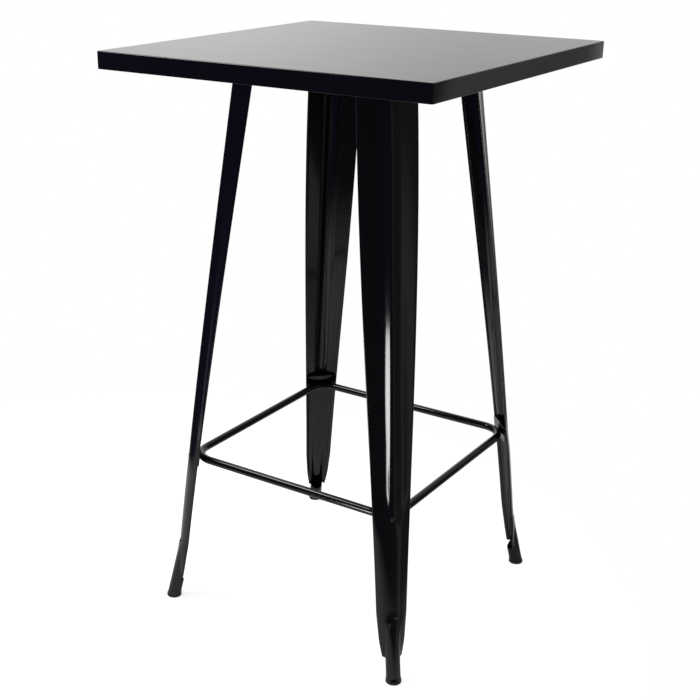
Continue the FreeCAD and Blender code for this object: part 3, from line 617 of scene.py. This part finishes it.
# ---------------------------------------------------------------- camera
# Fitted to the photograph: its direction in degrees, azimuth from -Y toward +X, its place from the
# middle of the table, and its focal length and optical centre in pixels of the picture.
CAMERA_AZIMUTH = 34.334
CAMERA_ELEVATION = 22.183
CAMERA_ROLL = 0.167
TABLE_MIDDLE = Vector((0, 0, 0.5))
CAMERA_RIGHT = -0.092381
CAMERA_UP = -0.088436
CAMERA_BACK = 2.153107
PICTURE = 700
FOCAL = 1206.272
CENTRE_X = 302.344
CENTRE_Y = 384.168


def place_camera():
    azimuth = math.radians(CAMERA_AZIMUTH)
    elevation = math.radians(CAMERA_ELEVATION)
    roll = math.radians(CAMERA_ROLL)
    back = Vector((math.sin(azimuth) * math.cos(elevation),
                   -math.cos(azimuth) * math.cos(elevation), math.sin(elevation)))
    level_right = Vector((math.cos(azimuth), math.sin(azimuth), 0))
    level_up = back.cross(level_right)
    right = level_right * math.cos(roll) + level_up * math.sin(roll)
    up = level_up * math.cos(roll) - level_right * math.sin(roll)
    data = bpy.data.cameras.new("camera")
    camera = bpy.data.objects.new("camera", data)
    bpy.context.scene.collection.objects.link(camera)
    camera.matrix_world = Matrix((right, up, back)).transposed().to_4x4()
    camera.location = TABLE_MIDDLE + right * CAMERA_RIGHT + up * CAMERA_UP + back * CAMERA_BACK
    data.sensor_width = 36
    data.lens = FOCAL / PICTURE * data.sensor_width
    data.shift_x = (PICTURE / 2 - CENTRE_X) / PICTURE
    data.shift_y = (CENTRE_Y - PICTURE / 2) / PICTURE
    data.clip_start = 0.05
    data.dof.use_dof = False
    bpy.context.scene.camera = camera


place_camera()

# ---------------------------------------------------------------- floor, world and lamps
# What the glossy paint mirrors of the studio: azimuth in degrees from -Y toward +X, and colour.
# The backdrop behind the table is white, the camera's side is dim, and two pale strips stand to
# the camera's right.
STUDIO = [
    (-90, (0.022, 0.023, 0.060)),
    (-45, (0.050, 0.052, 0.110)),
    (30, (0.045, 0.048, 0.060)),
    (72, (0.080, 0.080, 0.075)),
    (89, (0.360, 0.360, 0.330)),
    (100, (0.120, 0.120, 0.115)),
    (147, (0.060, 0.060, 0.060)),
    (151, (0.340, 0.340, 0.340)),
    (158, (0.180, 0.180, 0.180)),
    (167, (0.640, 0.640, 0.640)),
    (205, (0.700, 0.700, 0.690)),
    (220, (1.000, 1.000, 1.000)),
    (245, (0.600, 0.600, 0.620)),
    (262, (0.022, 0.023, 0.060)),
]
AMBIENT = (0.66, 0.66, 0.66)
WHITE = (1.0, 1.0, 1.0)
FLOOR_CENTRE = Vector((-0.35, -0.30, 0))
FLOOR_RADIUS = 1.00
FLOOR_SOLID = 0.62  # the floor fades out from this radius
FLOOR_GLOW = 0.6
FLOOR_POINTS = 128


def background_share(tree):
    """Is Camera Ray, and 1 for every ray that shows the background itself."""
    path = tree.nodes.new("ShaderNodeLightPath")
    total = path.outputs["Is Camera Ray"]
    for name in ("Is Glossy Ray", "Is Transmission Ray"):
        node = tree.nodes.new("ShaderNodeMath")
        node.operation = "MAXIMUM"
        tree.links.new(total, node.inputs[0])
        tree.links.new(path.outputs[name], node.inputs[1])
        total = node.outputs[0]
    return path.outputs["Is Camera Ray"], total


def build_world():
    """White for the camera, the studio's own brightness for reflections, even light otherwise."""
    world = bpy.data.worlds.new("studio")
    bpy.context.scene.world = world
    world.use_nodes = True
    tree = world.node_tree
    camera, shown = background_share(tree)
    coords = tree.nodes.new("ShaderNodeTexCoord")
    turn = tree.nodes.new("ShaderNodeTexGradient")
    turn.gradient_type = "RADIAL"
    tree.links.new(coords.outputs["Generated"], turn.inputs["Vector"])
    around = tree.nodes.new("ShaderNodeValToRGB")
    around.color_ramp.interpolation = "EASE"
    stops = around.color_ramp.elements
    while len(stops) < len(STUDIO):
        stops.new(0.5)
    for stop, (azimuth, colour) in zip(stops, STUDIO):
        stop.position = (azimuth + 90) / 360  # the gradient starts at -X
        stop.color = (*colour, 1)
    tree.links.new(turn.outputs["Fac"], around.inputs["Fac"])
    reflected = mixed(tree, shown, AMBIENT, around.outputs["Color"])
    colour = mixed(tree, camera, reflected, WHITE)
    tree.links.new(colour, tree.nodes["Background"].inputs["Color"])


def build_floor():
    """Pale round floor that fades out toward its edge, and is clear when seen from below."""
    verts = [FLOOR_CENTRE]
    faces = []
    for i in range(FLOOR_POINTS):
        angle = 2 * math.pi * i / FLOOR_POINTS
        verts.append(FLOOR_CENTRE + Vector((math.cos(angle), math.sin(angle), 0)) * FLOOR_RADIUS)
        faces.append((0, 1 + i, 1 + (i + 1) % FLOOR_POINTS))
    floor = new_object("floor", verts, faces)
    shader = Shader("floor_paint")
    p = shader.principled
    mottled = shader.spread(shader.noise(6, 3), 0, 1)
    shader.link(shader.blend(mottled, (0.78, 0.80, 0.76), (0.80, 0.82, 0.78)),
                p.inputs["Base Color"])
    p.inputs["Roughness"].default_value = 0.8
    p.inputs["Specular IOR Level"].default_value = 0.1
    away = shader.tree.nodes.new("ShaderNodeVectorMath")
    away.operation = "DISTANCE"
    away.inputs[1].default_value = FLOOR_CENTRE
    shader.link(shader.place, away.inputs[0])
    fade = shader.spread(away.outputs["Value"], 1, 0, FLOOR_SOLID, FLOOR_RADIUS)
    side = shader.tree.nodes.new("ShaderNodeNewGeometry")
    above = shader.math("SUBTRACT", 1, side.outputs["Backfacing"])
    shader.link(shader.math("MULTIPLY", fade, above), p.inputs["Alpha"])
    camera, _ = background_share(shader.tree)
    p.inputs["Emission Color"].default_value = (*WHITE, 1)
    shader.link(shader.math("MULTIPLY", camera, FLOOR_GLOW), p.inputs["Emission Strength"])
    floor.data.materials.append(shader.material)


def soft_box(name, place, target, width, height, radiance, beam=180):
    """Area lamp that faces a target; its power follows from its size and its radiance ahead.

    A lamp with a beam narrower than 180 degrees is an oval with a grid in front.
    """
    data = bpy.data.lights.new(name, "AREA")
    data.shape = "RECTANGLE"
    data.size = width
    data.size_y = height
    data.energy = radiance * math.pi * width * height
    if beam < 180:
        half = math.radians(beam / 2)
        data.shape = "ELLIPSE"
        data.spread = 2 * half
        data.energy *= math.pi / 4 * (math.tan(half) - half) / math.tan(half)
    lamp = bpy.data.objects.new(name, data)
    bpy.context.scene.collection.objects.link(lamp)
    lamp.location = place
    lamp.rotation_euler = (Vector(place) - Vector(target)).to_track_quat("Z", "Y").to_euler()
    lamp.visible_camera = False


build_world()
build_floor()
soft_box("low_soft_box", (-0.18, -1.12, 0.25), (0.235, -0.24, 0.43), width=0.34, height=0.40,
         radiance=18, beam=58)
soft_box("overhead_soft_box", (-1.35, -0.75, 2.5), TABLE_MIDDLE, width=0.8, height=0.8, radiance=9)
soft_box("camera_side_fill", (2.56, -2.05, 1.45), (0.2, -0.2, 0.9), width=0.5, height=0.5,
         radiance=0.5)

bpy.context.scene.view_settings.view_transform = "Standard"
